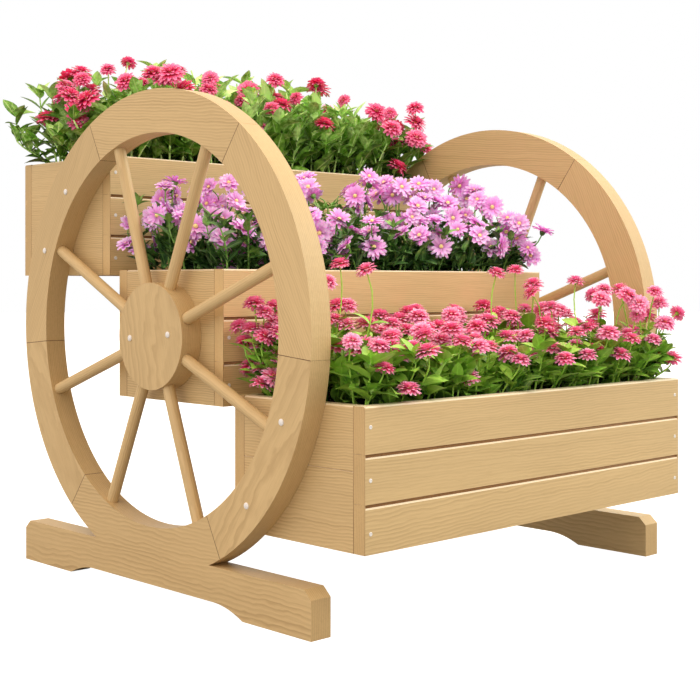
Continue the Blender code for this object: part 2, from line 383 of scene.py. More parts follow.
class Batch:
    """Many copies of small templates, gathered into one mesh with shading values."""

    def __init__(self):
        self.points, self.faces, self.along, self.tone = [], [], [], []
        self.count = 0

    def add(self, points, faces, along=0.0, tone=0.0):
        """One template; along and tone are one value, or one for each of its points."""
        self.points.append(points)
        self.faces.append(np.asarray(faces) + self.count)
        self.along.append(np.broadcast_to(along, (len(points),)))
        self.tone.append(np.broadcast_to(tone, (len(points),)))
        self.count += len(points)

    def make(self, name, material, smooth=True):
        mesh = bpy.data.meshes.new(name)
        points = np.concatenate(self.points)
        faces = np.concatenate(self.faces)
        mesh.from_pydata(points.tolist(), [], faces.tolist())
        for label, values in (("along", self.along), ("tone", self.tone)):
            layer = mesh.attributes.new(label, "FLOAT", "POINT")
            layer.data.foreach_set("value", np.concatenate(values).astype(np.float32))
        if smooth:
            mesh.shade_smooth()
        mesh.materials.append(material)
        piece = add_object(name, mesh)
        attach(piece, "root")
        return piece


def strip(rows, columns):
    """Quads of a grid of points, rows by columns."""
    corners = [r * columns + c for r in range(rows - 1) for c in range(columns - 1)]
    return [(a, a + 1, a + columns + 1, a + columns) for a in corners]


def round_faces(rings, sides):
    """Quads that join each ring of points to the next, open at both ends."""
    faces = []
    for ring in range(rings - 1):
        for k in range(sides):
            a = ring * sides + k
            b = ring * sides + (k + 1) % sides
            faces.append((a, b, b + sides, a + sides))
    return faces


def tube(points, radii, sides):
    """A tube through the points."""
    ring_points = []
    for i, point in enumerate(points):
        ahead = points[min(i + 1, len(points) - 1)] - points[max(i - 1, 0)]
        ahead = ahead / np.linalg.norm(ahead)
        side = np.cross(ahead, (0.31, 0.95, 0.02))
        side = side / np.linalg.norm(side)
        up = np.cross(side, ahead)
        for k in range(sides):
            turn = 2 * math.pi * k / sides
            ring_points.append(point + radii[i] * (math.cos(turn) * side + math.sin(turn) * up))
    return np.array(ring_points), round_faces(len(points), sides)


def turned(profile, sides):
    """A solid of revolution about Z from (radius, height) points; radii stay above 0."""
    turns = [2 * math.pi * k / sides for k in range(sides)]
    points = [(radius * math.cos(turn), radius * math.sin(turn), height)
              for radius, height in profile for turn in turns]
    return np.array(points), round_faces(len(profile), sides)


def turn_to(direction, spin=0.0):
    """A rotation that takes +Z to the direction, after a spin about +Z."""
    quaternion = Vector(direction).normalized().to_track_quat("Z", "Y")
    return np.array(quaternion.to_matrix() @ Matrix.Rotation(spin, 3, "Z"))


def rotation(axis, angle):
    return np.array(Matrix.Rotation(angle, 3, axis))


# ---- fasteners

def cap_material():
    material, n = new_material("white_caps")
    scuff = n.noise(n.spot(), 900.0, detail=3.0)
    n.colour(n.ramp(scuff, [(0.3, (0.78, 0.76, 0.72)), (0.7, (0.93, 0.92, 0.90))]))
    n.surface(n.varied(scuff, 0.25, 0.25))
    n.bump(scuff, 0.1, 0.0002)
    return material


# Heads as (radius, height) points for a radius of 1.
CAP_PROFILE = [(1.0, 0.0), (1.0, 0.12), (0.97, 0.2), (0.86, 0.32), (0.62, 0.44), (0.32, 0.5),
               (0.02, 0.52)]
SCREW_PROFILE = [(1.0, 0.0), (1.0, 0.1), (0.9, 0.2), (0.62, 0.27), (0.5, 0.27), (0.42, 0.1),
                 (0.02, 0.08)]


def round_heads(name, profile, radius, spots, direction, material):
    """One piece of identical round heads, each standing on its spot."""
    points, faces = turned(profile, 20)
    batch = Batch()
    facing = turn_to(direction)
    for spot in spots:
        batch.add(points * radius @ facing.T + np.array(spot), faces)
    batch.make(name, material)


# Rim bolts: degrees from the front upwards, and distance from the wheel's centre.
RIM_BOLTS = ((137, 0.2665), (157.5, 0.2695), (-21, 0.2683), (-46, 0.2730))
# Hub bolts: place along Y, and height above the hub's centre.
HUB_BOLTS = ((0.0430, -0.0033), (-0.0378, 0.0032))
BOLT_HEAD = 0.0040
SCREW_HEAD = 0.0024
SCREW_PITCH = 0.0574
SCREW_INSET = 0.0088


def make_fasteners():
    caps = cap_material()
    for side, sign in SIDES.items():
        face_x = sign * CAD_BOX[1].x
        spots = []
        for angle, radius in RIM_BOLTS:
            turn = math.radians(angle)
            spots.append((face_x, -radius * math.cos(turn),
                          WHEEL_CENTRE.z + radius * math.sin(turn)))
        for along, up in HUB_BOLTS:
            spots.append((face_x, along, HUB_CENTRE.z + up))
        round_heads(f"{side}_wheel_bolts", CAP_PROFILE, BOLT_HEAD, spots, (sign, 0, 0), caps)
    for tier in TIERS:
        low, high = BOX[tier]
        front_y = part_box(f"{tier}_front_board_1")[0].y
        middle = (low.z + high.z) / 2
        for wall, y, facing in (("front", front_y, -1), ("back", high.y, 1)):
            spots = [(sign * (high.x - SCREW_INSET), y, middle + k * SCREW_PITCH)
                     for sign in (-1, 1) for k in (-1, 0, 1)]
            round_heads(f"{tier}_{wall}_screws", SCREW_PROFILE, SCREW_HEAD, spots,
                        (0, facing, 0), caps)


# ---- joint lines

# Degrees from the front upwards, where one rim piece meets the next.
RIM_SEAMS = (298, 355, 54, 117, 185, 233)
RIM_OUTER = (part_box("left_foot")[1].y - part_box("left_foot")[0].y) / 2
RIM_INNER = 0.2455
SEAM_WIDTH = 0.0009
PROUD = 0.00004
GROOVE_HEIGHT = 0.0034
GROOVE_DEPTH = 0.0055
GROOVE_SHADE = 0.0022
GROOVE_END = 0.0012
EDGE_CHAMFER = 0.0017


def joint_material(name, dark, light):
    material, n = new_material(name)
    n.colour(n.ramp(n.noise(n.spot(), 300.0), [(0.3, dark), (0.7, light)]))
    n.surface(0.8)
    return material


def plate(low, high):
    """A box between two corners, as points and quads."""
    points = [(x, y, z) for x in (low[0], high[0]) for y in (low[1], high[1])
              for z in (low[2], high[2])]
    faces = [(0, 1, 3, 2), (4, 6, 7, 5), (0, 4, 5, 1), (2, 3, 7, 6), (0, 2, 6, 4), (1, 5, 7, 3)]
    return np.array(points), faces


def rim_glue(side, sign, glue):
    """Glue in the seams between the rim's pieces, a hair proud of the wood all round."""
    low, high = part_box("left_felloe_3")
    points, faces = plate((low.x - PROUD, RIM_INNER - PROUD, -SEAM_WIDTH / 2),
                          (high.x + PROUD, RIM_OUTER + PROUD, SEAM_WIDTH / 2))
    x, out, up = points.T
    batch = Batch()
    for angle in RIM_SEAMS:
        turn = math.radians(angle)
        y = up * math.sin(turn) - out * math.cos(turn)
        z = out * math.sin(turn) + up * math.cos(turn) + WHEEL_CENTRE.z
        batch.add(np.stack((-sign * x, y, z), axis=1), faces)
    batch.make(f"{side}_rim_glue", glue)


def corner_seams(tier, seam):
    """Seams where a box's sides meet its front and back."""
    batch = Batch()
    half = SEAM_WIDTH / 2
    box_low, box_high = BOX[tier]
    front_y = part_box(f"{tier}_front_board_1")[0].y
    for side, sign in SIDES.items():
        low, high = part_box(f"{tier}_{side}_side")
        for y in (low.y, high.y):
            batch.add(*plate((low.x - PROUD, y - half, box_low.z),
                             (high.x + PROUD, y + half, box_high.z)))
        corner = sign * box_high.x
        points, faces = plate((corner - PROUD - half, front_y - PROUD, box_low.z),
                              (corner + PROUD + half, front_y + PROUD, box_high.z))
        points[:, 0] = np.clip(points[:, 0], -box_high.x - PROUD, box_high.x + PROUD)
        batch.add(points, faces)
    batch.make(f"{tier}_corner_seams", seam)


def painted_shade_in_grooves(tier, shade):
    """Dark sheets set back in the grooves of a front and a back, painted shade where the grooves
    lie in shadow, and wood that closes the grooves' ends.
    """
    grooves, ends = Batch(), Batch()
    high = BOX[tier][1]
    inside = high.x - GROOVE_END
    front_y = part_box(f"{tier}_front_board_1")[0].y
    for number in (2, 3):
        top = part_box(f"{tier}_front_board_{number}")[1].z
        for face, inwards in ((front_y, 1.0), (high.y, -1.0)):
            far = face + inwards * GROOVE_DEPTH
            grooves.add(*plate((-inside, face + inwards * GROOVE_SHADE, top - GROOVE_HEIGHT),
                               (inside, far, top)))
            for sign in SIDES.values():
                ends.add(*plate((sign * inside, face + inwards * PROUD,
                                 top - GROOVE_HEIGHT - EDGE_CHAMFER),
                                (sign * (high.x + PROUD), far, top + EDGE_CHAMFER)))
    grooves.make(f"{tier}_groove_painted_shade", shade)
    wood = bpy.data.materials[f"wood_{tier}_front_board_2"]
    ends.make(f"{tier}_groove_ends", wood, smooth=False)


def make_joint_lines():
    glue = joint_material("glue", (0.17, 0.095, 0.042), (0.25, 0.150, 0.070))
    seam = joint_material("corner_seam", (0.34, 0.20, 0.085), (0.42, 0.26, 0.12))
    # Painted shade: dark sheets set back in the boards' grooves, where there is only shadow.
    shade = joint_material("groove_painted_shade", (0.34, 0.175, 0.070), (0.43, 0.235, 0.100))
    for side, sign in SIDES.items():
        rim_glue(side, sign, glue)
    for tier in TIERS:
        corner_seams(tier, seam)
        painted_shade_in_grooves(tier, shade)


# ---- plants

PETAL_ROWS = 5
PETAL_FACES = np.array(strip(PETAL_ROWS, 3))
PETAL_WIDEST = 0.62


def petal(length, width, droop, cup, notch):
    """One petal lying along +X: points row by row, and how far along each point is."""
    points, along = [], []
    for row in range(PETAL_ROWS):
        t = row / (PETAL_ROWS - 1)
        if t < PETAL_WIDEST:
            half = 0.32 + 0.68 * math.sin(math.pi / 2 * t / PETAL_WIDEST)
        else:
            past = (t - PETAL_WIDEST) / (1 - PETAL_WIDEST)
            half = math.sqrt(max(0.0, 1.0 - 0.86 * past ** 2))
        for v in (-1.0, 0.0, 1.0):
            pull = notch * (1 - abs(v)) if row == PETAL_ROWS - 1 else 0.0
            points.append((length * (t - pull), width / 2 * half * v,
                           cup * width * half * v * v - length * (droop * t * t)))
            along.append(t)
    return np.array(points), np.array(along)


def whorled_head(dice, whorls, cup, droop, notch):
    """Petals in rings from the outside in. A whorl is (count, length, width, degrees of
    rise, (distance out, height) of its roots).
    """
    points, faces, along, tone = [], [], [], []
    total = 0
    for level, (count, length, width, rise, root) in enumerate(whorls):
        turn = dice.uniform(0, 2 * math.pi)
        for k in range(count):
            blade, t = petal(length * dice.uniform(0.88, 1.08), width * dice.uniform(0.9, 1.1),
                             droop * dice.uniform(0.6, 1.4), cup, notch)
            tilt = math.radians(rise + dice.uniform(-7, 7))
            spin = turn + 2 * math.pi * (k + dice.uniform(-0.18, 0.18)) / count
            blade = blade @ rotation("Y", -tilt).T + (root[0], 0.0, root[1])
            points.append(blade @ rotation("Z", spin).T)
            faces.append(PETAL_FACES + total)
            along.append(t)
            tone.append(np.full(len(blade), dice.uniform(-0.12, 0.12) + 0.05 * level))
            total += len(blade)
    return [np.concatenate(part) for part in (points, faces, along, tone)]


def zinnia(dice):
    """A low dome of many petals, one unit in radius."""
    return whorled_head(dice, [
        (15, 0.86, 0.34, -14, (0.16, -0.02)),
        (14, 0.84, 0.34, 2, (0.15, 0.06)),
        (13, 0.74, 0.31, 18, (0.14, 0.13)),
        (11, 0.62, 0.28, 35, (0.12, 0.19)),
        (9, 0.48, 0.24, 52, (0.09, 0.24)),
        (6, 0.34, 0.20, 70, (0.05, 0.27)),
    ], cup=0.16, droop=0.16, notch=0.10)


def daisy(dice):
    """Two or three rows of broad notched rays round an open eye, one unit in radius."""
    if dice.random() < 0.4:
        return whorled_head(dice, [
            (14, 0.90, 0.27, 8, (0.12, 0.0)),
            (12, 0.80, 0.25, 24, (0.10, 0.03)),
        ], cup=0.12, droop=0.08, notch=0.10)
    return whorled_head(dice, [
        (9, 0.86, 0.46, 10, (0.12, 0.0)),
        (8, 0.76, 0.42, 27, (0.10, 0.03)),
        (5, 0.52, 0.30, 48, (0.10, 0.05)),
    ], cup=0.20, droop=0.12, notch=0.16)


# The eye and the calyx of a head with a radius of 1, as (radius, height) points.
EYE_TOP = 0.225
EYE = turned([(0.24, -0.04), (0.27, 0.05), (0.24, 0.13), (0.17, 0.19), (0.09, 0.22),
              (0.012, EYE_TOP)], 10)
CALYX = turned([(0.07, -0.34), (0.16, -0.26), (0.23, -0.14), (0.25, -0.02), (0.20, 0.03)], 8)
LEAF_ROWS = 7


def leaf_shape(width, bend, fold, waist):
    """A pointed leaf, 1 long, along +X: folded up from its midrib and arched at its tip."""
    points, across = [], []
    for row in range(LEAF_ROWS):
        t = row / (LEAF_ROWS - 1)
        half = math.sin(math.pi * t ** waist) ** 0.85 if 0 < row < LEAF_ROWS - 1 else 0.0
        half = max(half, 0.06 if row == 0 else 0.015)
        for v in (-1.0, 0.0, 1.0):
            points.append((t * (1 - 0.2 * bend * t), width / 2 * half * v,
                           fold * width / 2 * half * abs(v) - bend * t * t))
            across.append(abs(v))
    return np.array(points), strip(LEAF_ROWS, 3), np.array(across)


def bezier(a, b, c, d, count):
    path = []
    for i in range(count):
        t = i / (count - 1)
        s = 1 - t
        path.append(s ** 3 * a + 3 * s * s * t * b + 3 * s * t * t * c + t ** 3 * d)
    return path


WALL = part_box("front_left_side")[1].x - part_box("front_left_side")[0].x
WHEEL_INNER_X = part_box("right_hub")[0].x
SPOKE_INNER_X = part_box("right_spoke_1")[0].x
HUB_RADIUS = (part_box("left_hub")[1].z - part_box("left_hub")[0].z) / 2
SLACK = 0.0012
WHEEL_SLACK = 0.002
SPOKE_SLACK = 0.001
PLANT_REACH = (0.010, 0.010, 0.008)
SOIL_MARGIN = 0.012
STEM_ALONG = 0.8
STEM_SIDES = 5
PLANTS = bpy.data.collections.new("plants")


class Keepout:
    """Where a tier's plants may not go: boards, wheels and the other boxes."""

    def __init__(self, tier):
        self.own = self.outline(tier)
        self.others = [self.outline(other) for other in TIERS if other != tier]

    @staticmethod
    def outline(tier):
        low = np.array(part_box(f"{tier}_front_board_3")[0])
        high = np.array(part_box(f"{tier}_back")[1])
        return low, high

    def clear(self, points):
        """Whether a shape's points keep off the boards, the wheels and the outer limits."""
        x, y, z = points.T
        wide = np.abs(x)
        low, high = self.own
        inner = WALL + SLACK
        outside = (wide > high[0] + SLACK) | (y < low[1] - SLACK) | (y > high[1] + SLACK)
        inside = (wide < high[0] - inner) & (y > low[1] + inner) & (y < high[1] - inner)
        if np.any((z < high[2] + SLACK) & (z > low[2]) & ~outside & ~inside):
            return False
        for low, high in self.others:
            hit = ((wide < high[0] + SLACK) & (y > low[1] - SLACK) & (y < high[1] + SLACK)
                   & (z > low[2] - SLACK) & (z < high[2] + SLACK))
            if np.any(hit):
                return False
        ring = np.hypot(y - WHEEL_CENTRE.y, z - WHEEL_CENTRE.z)
        hub = np.hypot(y - HUB_CENTRE.y, z - HUB_CENTRE.z)
        in_rim = (ring > RIM_INNER - WHEEL_SLACK) & (ring < RIM_OUTER + WHEEL_SLACK)
        in_hub = hub < HUB_RADIUS + WHEEL_SLACK
        beside = wide > WHEEL_INNER_X - SLACK
        among_spokes = (wide > SPOKE_INNER_X - SPOKE_SLACK) & (ring < RIM_INNER)
        if np.any(beside & (in_rim | in_hub)) or np.any(among_spokes):
            return False
        reach = CAD_BOX[1] + Vector(PLANT_REACH)
        return bool(np.all((wide < reach.x) & (np.abs(y) < reach.y) & (z < reach.z)))


class Bed:
    """One tier's plants: stems, leaves, petals and eyes gathered as four pieces."""

    def __init__(self, tier, look, seed):
        self.tier = tier
        self.look = look
        self.dice = random.Random(seed)
        self.keep = Keepout(tier)
        low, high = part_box(f"{tier}_soil")
        self.low, self.high = np.array(low), np.array(high)
        self.rim = BOX[tier][1].z
        self.stems, self.leaves, self.petals, self.eyes = Batch(), Batch(), Batch(), Batch()
        self.heads = [look["head"](self.dice) for _ in range(6)]
        self.blades = [leaf_shape(look["leaf_width"] * self.dice.uniform(0.8, 1.2),
                                  self.dice.uniform(*look["leaf_bend"]),
                                  self.dice.uniform(0.15, 0.5), look["leaf_waist"])
                       for _ in range(8)]
        self.placed = []

    def inside_soil(self, x, y):
        return (min(max(x, self.low[0] + SOIL_MARGIN), self.high[0] - SOIL_MARGIN),
                min(max(y, self.low[1] + SOIL_MARGIN), self.high[1] - SOIL_MARGIN))

    def spread(self, u, v):
        """A place over the box from shares of its width and depth, past its rim a little."""
        over_x, over_y = self.look["overhang"]
        x = self.low[0] - over_x + u * (self.high[0] - self.low[0] + 2 * over_x)
        y = self.low[1] - over_y + v * (self.high[1] - self.low[1] + 2 * over_y)
        return x, y

    def facing(self, extra=(0.0, 0.0, 0.0)):
        """The look's usual direction for a flower, turned a little at random."""
        jitter = [self.dice.gauss(0, self.look["jitter"]) for _ in range(3)]
        aim = np.array(self.look["aim"]) + extra + jitter
        return aim / np.linalg.norm(aim)

    def head(self, centre, radius, facing, tone):
        """A flower at the place, on a stem that rises out of the soil."""
        points, faces, along, shade = self.dice.choice(self.heads)
        turn = turn_to(facing, self.dice.uniform(0, 2 * math.pi))
        points = points * radius @ turn.T + centre
        if not self.keep.clear(points):
            return False
        self.petals.add(points, faces, along, shade + tone)
        eye, eye_faces = EYE
        size = np.array((self.look["eye"], self.look["eye"], 1.0)) * radius
        self.eyes.add((eye * size) @ turn.T + centre, eye_faces,
                      np.clip(eye[:, 2] / EYE_TOP, 0, 1), tone)
        cup, cup_faces = CALYX
        self.stems.add(cup * radius @ turn.T + centre, cup_faces, STEM_ALONG, tone + 0.2)
        self.stem(centre - facing * radius * 0.30, facing, self.look["pairs"], tone)
        self.placed.append(centre)
        return True

    def stem(self, top, facing, pairs, tone):
        """A stem from the soil up to the top, with pairs of leaves at shares of its height."""
        dice = self.dice
        root = np.array((*self.inside_soil(top[0] + dice.uniform(-0.02, 0.02),
                                           top[1] + dice.uniform(-0.02, 0.02)),
                         self.high[2] - 0.006))
        rise = top[2] - root[2]
        path = bezier(root, root + (0, 0, 0.45 * rise), top - facing * 0.35 * rise, top, 8)
        thick = self.look["stem"] * dice.uniform(0.85, 1.15)
        points, faces = tube(path, np.linspace(thick * 1.25, thick * 0.85, len(path)), STEM_SIDES)
        if self.keep.clear(points):
            self.stems.add(points, faces, STEM_ALONG, tone + 0.3)
        turn = dice.uniform(0, math.pi)
        for share in pairs:
            index = min(len(path) - 2, int(share * (len(path) - 1)))
            turn += math.pi / 2
            for half in (0, math.pi):
                self.leaf(path[index], turn + half + dice.uniform(-0.4, 0.4),
                          dice.uniform(*self.look["rise"]), dice.uniform(0.6, 1.0))

    def leaf(self, root, azimuth, elevation, share=1.0):
        """One leaf from the root point; it is left out if it would cut through something."""
        dice = self.dice
        points, faces, across = dice.choice(self.blades)
        length = dice.uniform(*self.look["leaf_length"]) * share
        up = math.radians(elevation)
        points = points * length @ rotation("X", dice.uniform(-0.5, 0.5)).T
        points = points @ rotation("Y", -up).T @ rotation("Z", azimuth).T + root
        if self.keep.clear(points):
            # Painted shade: leaves lower in the mass get a darker tone, standing in for the shade
            # of the foliage above them; the rest of the tone varies at random.
            height = (root[2] - self.rim) / self.look["crown"]
            self.leaves.add(points, faces, across,
                            dice.uniform(-0.22, 0.22) + 0.55 * min(max(height, -0.3), 1.0) - 0.15)

    def shoot(self, x, y, level):
        """A flowerless stem that ends in a tuft of leaves."""
        dice = self.dice
        top = np.array((x, y, self.rim + level))
        if not self.keep.clear(top[None, :]):
            return
        lean = np.array((dice.gauss(0, 0.25), dice.gauss(0, 0.25), 1.0))
        self.stem(top, lean / np.linalg.norm(lean), self.look["shoot_pairs"],
                  dice.uniform(-0.2, 0.2))
        turn = dice.uniform(0, 2 * math.pi)
        for k in range(6):
            self.leaf(top, turn + 2.4 * k + dice.uniform(-0.3, 0.3),
                      dice.uniform(25, 50) + 6 * k, 0.95 - 0.08 * k)

    def shoots(self, columns, rows, level):
        """Shoots on a jittered grid; level(u, v) is their height over the rim."""
        dice = self.dice
        for row in range(rows):
            for column in range(columns):
                u = (column + dice.uniform(0.1, 0.9)) / columns
                v = (row + dice.uniform(0.1, 0.9)) / rows
                x, y = self.spread(u, v)
                self.shoot(x, y, level(u, v) * dice.uniform(0.55, 1.05))

    def fill(self, count, low_z, high_z):
        """Loose leaves between two heights, turned outwards near the edges of the box."""
        dice = self.dice
        for _ in range(count):
            x = dice.uniform(self.low[0], self.high[0])
            y = dice.uniform(self.low[1], self.high[1])
            z = dice.uniform(low_z, high_z)
            centre_y = (self.low[1] + self.high[1]) / 2
            azimuth = dice.gauss(math.atan2((y - centre_y) * 3.2, x), 1.1)
            self.leaf(np.array((x, y, z)), azimuth, dice.uniform(10, 75))

    def scatter(self, count, level, radius, spacing):
        """Flowers at random, no closer than the spacing; level(u, v, dice) is their height."""
        dice = self.dice
        made = 0
        for _ in range(count * 30):
            u, v = dice.uniform(0, 1), dice.uniform(0, 1)
            x, y = self.spread(u, v)
            centre = np.array((x, y, self.rim + level(u, v, dice)))
            if any(np.linalg.norm((centre - other) * (1, 1, 0.8)) < spacing
                   for other in self.placed):
                continue
            made += self.head(centre, dice.uniform(*radius), self.facing(), dice.uniform(-0.2, 0.2))
            if made >= count:
                break

    def clump(self, x, y, level, count, radius, wide):
        """A handful of flowers packed round one place, each leaning away from its middle."""
        dice = self.dice
        made = 0
        for _ in range(count * 12):
            off = np.array((dice.gauss(0, wide), dice.gauss(0, wide), dice.gauss(0, 0.7 * wide)))
            centre = np.array((x, y, self.rim + level)) + off
            if any(np.linalg.norm(centre - other) < 1.25 * radius[0] for other in self.placed):
                continue
            made += self.head(centre, dice.uniform(*radius), self.facing(18 * off),
                              dice.uniform(-0.2, 0.2))
            if made >= count:
                break

    def clumps(self, spots, radius, wide):
        for x, y, level, count in spots:
            self.clump(x, y, level, count, radius, wide)

    def place(self, spots, radius):
        """Flowers at chosen places, each (x, y, height over the rim)."""
        for x, y, level in spots:
            self.head(np.array((x, y, self.rim + level)), self.dice.uniform(*radius),
                      self.facing(), self.dice.uniform(-0.2, 0.2))

    def finish(self, greens, petals, eyes):
        made = [self.stems.make(f"{self.tier}_stems", greens),
                self.leaves.make(f"{self.tier}_leaves", greens),
                self.petals.make(f"{self.tier}_petals", petals),
                self.eyes.make(f"{self.tier}_flower_eyes", eyes)]
        for piece, slot in zip(made, ("foliage", "foliage", "petals", "petals")):
            PLANTS.objects.link(piece)
        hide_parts(f"{self.tier}_planting")


def petal_material(name, base, middle, tip):
    """Petals deepen towards their root, partly their own colour and partly painted shade where they
    crowd the middle of the head, and carry faint lengthwise streaks.
    """
    material, n = new_material(name)
    streak = n.noise(n.spot(), 700.0)
    shade = n.math("ADD", n.value_of("along"), n.math("MULTIPLY", n.value_of("tone"), 0.6))
    streaks = n.math("MULTIPLY", n.math("SUBTRACT", streak, 0.5), 0.35)
    shade = n.math("ADD", shade, streaks, clamp=True)
    n.colour(n.ramp(shade, [(0.05, base), (0.5, middle), (1.0, tip)]))
    n.surface(n.varied(streak, 0.2, 0.45), specular=0.25)
    n.bump(streak, 0.15, 0.0004)
    n.glow_through(0.7, (1.0, 0.5, 0.8))
    return material


def leaf_material(name, dark, middle, light):
    """Leaves with a paler midrib, a fine grain, a tone that varies at random, and painted shade
    that darkens the lower ones.
    """
    material, n = new_material(name)
    spot = n.spot()
    mottle = n.noise(spot, 160.0, detail=3.0)
    shade = n.math("ADD", n.value_of("tone"), mottle, clamp=True)
    body = n.ramp(shade, [(0.12, dark), (0.5, middle), (0.95, light)])
    rib = n.ramp(n.value_of("along"), [(0.0, WHITE), (0.16, BLACK)])
    pale = tuple(min(1.0, 1.35 * part + 0.03) for part in light)
    n.colour(n.mix("MIX", n.math("MULTIPLY", rib, 0.45), body, (*pale, 1.0)))
    n.surface(n.varied(mottle, 0.25, 0.32), specular=0.4)
    n.bump(n.noise(spot, 900.0), 0.2, 0.0004)
    n.glow_through(0.4, (0.6, 1.0, 0.3))
    return material


def eye_material(name, rim, middle):
    """Tiny florets, packed close."""
    material, n = new_material(name)
    florets = n.add("ShaderNodeTexVoronoi")
    n.feed(florets.inputs["Vector"], n.spot())
    florets.inputs["Scale"].default_value = 1400.0
    dots = florets.outputs["Distance"]
    shade = n.math("ADD", n.value_of("along"), n.math("MULTIPLY", dots, 0.4), clamp=True)
    n.colour(n.ramp(shade, [(0.1, rim), (0.7, middle)]))
    n.surface(0.7)
    n.bump(dots, 0.6, 0.0005)
    return material


def soil_material():
    material, n = new_material("potting_soil")
    clods = n.noise(n.spot(), 120.0, detail=6.0, roughness=0.7)
    n.colour(n.ramp(clods, [(0.3, (0.012, 0.008, 0.005)), (0.7, (0.085, 0.055, 0.035))]))
    n.surface(n.varied(clods, 0.2, 0.75))
    n.bump(clods, 0.8, 0.003)
    return material


def front_level(u, v, dice):
    """Heads step up from the front rim to a band behind it; a few stay low."""
    low = 0.030 if dice.random() < 0.08 else 0.0
    return 0.052 + 0.044 * v - low + dice.uniform(-0.018, 0.016)


def top_level(u, v, dice):
    return top_crown(u, v) * dice.uniform(0.75, 1.12)


def top_crown(u, v):
    """The top tier's plants are lower at its front rim and at its two ends."""
    ends = math.sin(math.pi * min(max(0.10 + 0.80 * u, 0.0), 1.0)) ** 0.5
    return (0.076 + 0.076 * min(1.0, 1.6 * v)) * ends


# Single flowers and shoots: x, y, height over the rim.
FRONT_TALL = ((-0.236, -0.24, 0.155), (-0.262, -0.245, 0.134), (-0.193, -0.24, 0.148),
              (0.049, -0.24, 0.146), (0.093, -0.235, 0.150), (0.125, -0.24, 0.131),
              (0.14, -0.30, 0.135), (0.242, -0.30, 0.124), (0.267, -0.34, 0.121),
              (0.285, -0.335, 0.105), (-0.287, -0.165, 0.098), (-0.285, -0.19, 0.075))
TOP_END_SHOOTS = ((-0.330, 0.335, 0.066), (-0.326, 0.345, 0.040), (-0.328, 0.225, 0.030),
                  (-0.326, 0.190, 0.050))
TOP_TALL = ((-0.203, 0.24, 0.148), (-0.225, 0.26, 0.138), (-0.111, 0.24, 0.147))
# Clumps of flowers: x, y, height over the rim, how many.
FRONT_ENDS = ((-0.282, -0.165, 0.094, 5), (-0.300, -0.155, 0.066, 7), (-0.298, -0.160, 0.034, 6),
              (0.210, -0.290, 0.116, 5), (0.130, -0.280, 0.105, 3), (0.265, -0.335, 0.098, 4),
              (0.290, -0.330, 0.072, 3))
MIDDLE_CLUMPS = (
    (-0.305, 0.10, 0.042, 5), (-0.300, 0.05, 0.070, 4), (-0.265, 0.04, 0.090, 6),
    (-0.295, -0.03, 0.050, 4), (-0.245, -0.01, 0.067, 5), (-0.200, 0.01, 0.098, 6),
    (-0.265, -0.06, 0.034, 5), (-0.210, -0.06, 0.045, 7), (-0.150, -0.04, 0.065, 5),
    (-0.135, 0.00, 0.100, 5), (-0.060, 0.01, 0.110, 7), (-0.100, -0.06, 0.060, 7),
    (-0.100, -0.09, 0.030, 4), (0.020, 0.00, 0.116, 7), (0.100, 0.01, 0.116, 8),
    (0.165, 0.01, 0.115, 7), (-0.020, -0.08, 0.035, 5), (0.080, -0.05, 0.071, 5),
    (0.185, -0.02, 0.095, 6), (0.090, -0.09, 0.044, 6), (0.275, 0.02, 0.132, 3),
    (0.170, -0.07, 0.060, 5), (0.205, -0.09, 0.043, 4), (0.250, -0.05, 0.087, 6),
    (0.280, -0.08, 0.062, 6), (0.285, -0.10, 0.026, 3), (0.310, -0.10, 0.062, 1),
)
TOP_SPRAYS = (
    (-0.326, 0.28, 0.066, 1), (-0.300, 0.25, 0.088, 4), (-0.260, 0.27, 0.118, 4),
    (-0.290, 0.19, 0.078, 3), (-0.200, 0.23, 0.108, 2), (-0.155, 0.22, 0.122, 3),
    (-0.110, 0.20, 0.114, 2), (-0.060, 0.22, 0.124, 2), (0.040, 0.23, 0.142, 2),
    (0.000, 0.19, 0.115, 1), (0.020, 0.16, 0.092, 2), (-0.020, 0.15, 0.055, 1),
    (0.115, 0.20, 0.122, 3), (0.085, 0.15, 0.072, 1), (0.250, 0.20, 0.134, 2),
    (0.225, 0.16, 0.083, 1), (0.270, 0.17, 0.096, 3), (0.300, 0.17, 0.098, 2),
    (0.270, 0.15, 0.058, 2), (0.300, 0.15, 0.040, 2), (0.237, 0.155, 0.022, 1),
)

LOOKS = {
    "front": dict(head=zinnia, leaf_width=0.46, leaf_bend=(0.1, 0.5), leaf_waist=0.85,
                  leaf_length=(0.028, 0.046), stem=0.0010, pairs=(0.3, 0.5, 0.68),
                  shoot_pairs=(0.35, 0.55, 0.75, 0.9), rise=(15, 60), crown=0.05,
                  overhang=(0.018, 0.020), aim=(-0.06, -0.10, 1.0), jitter=0.15, eye=0.6),
    "middle": dict(head=daisy, leaf_width=0.40, leaf_bend=(0.1, 0.6), leaf_waist=0.8,
                   leaf_length=(0.020, 0.036), stem=0.0010, pairs=(0.3, 0.5, 0.7),
                   shoot_pairs=(0.3, 0.45, 0.6, 0.75, 0.9), rise=(15, 60), crown=0.09,
                   overhang=(0.018, 0.018), aim=(-0.42, -0.50, 0.62), jitter=0.42, eye=0.62),
    "top": dict(head=zinnia, leaf_width=0.48, leaf_bend=(0.0, 0.45), leaf_waist=0.85,
                leaf_length=(0.028, 0.047), stem=0.0013, pairs=(0.4, 0.6, 0.8),
                shoot_pairs=(0.35, 0.5, 0.65, 0.8, 0.92), rise=(20, 65), crown=0.11,
                overhang=(0.024, 0.014), aim=(-0.22, -0.28, 0.90), jitter=0.26, eye=0.6),
}
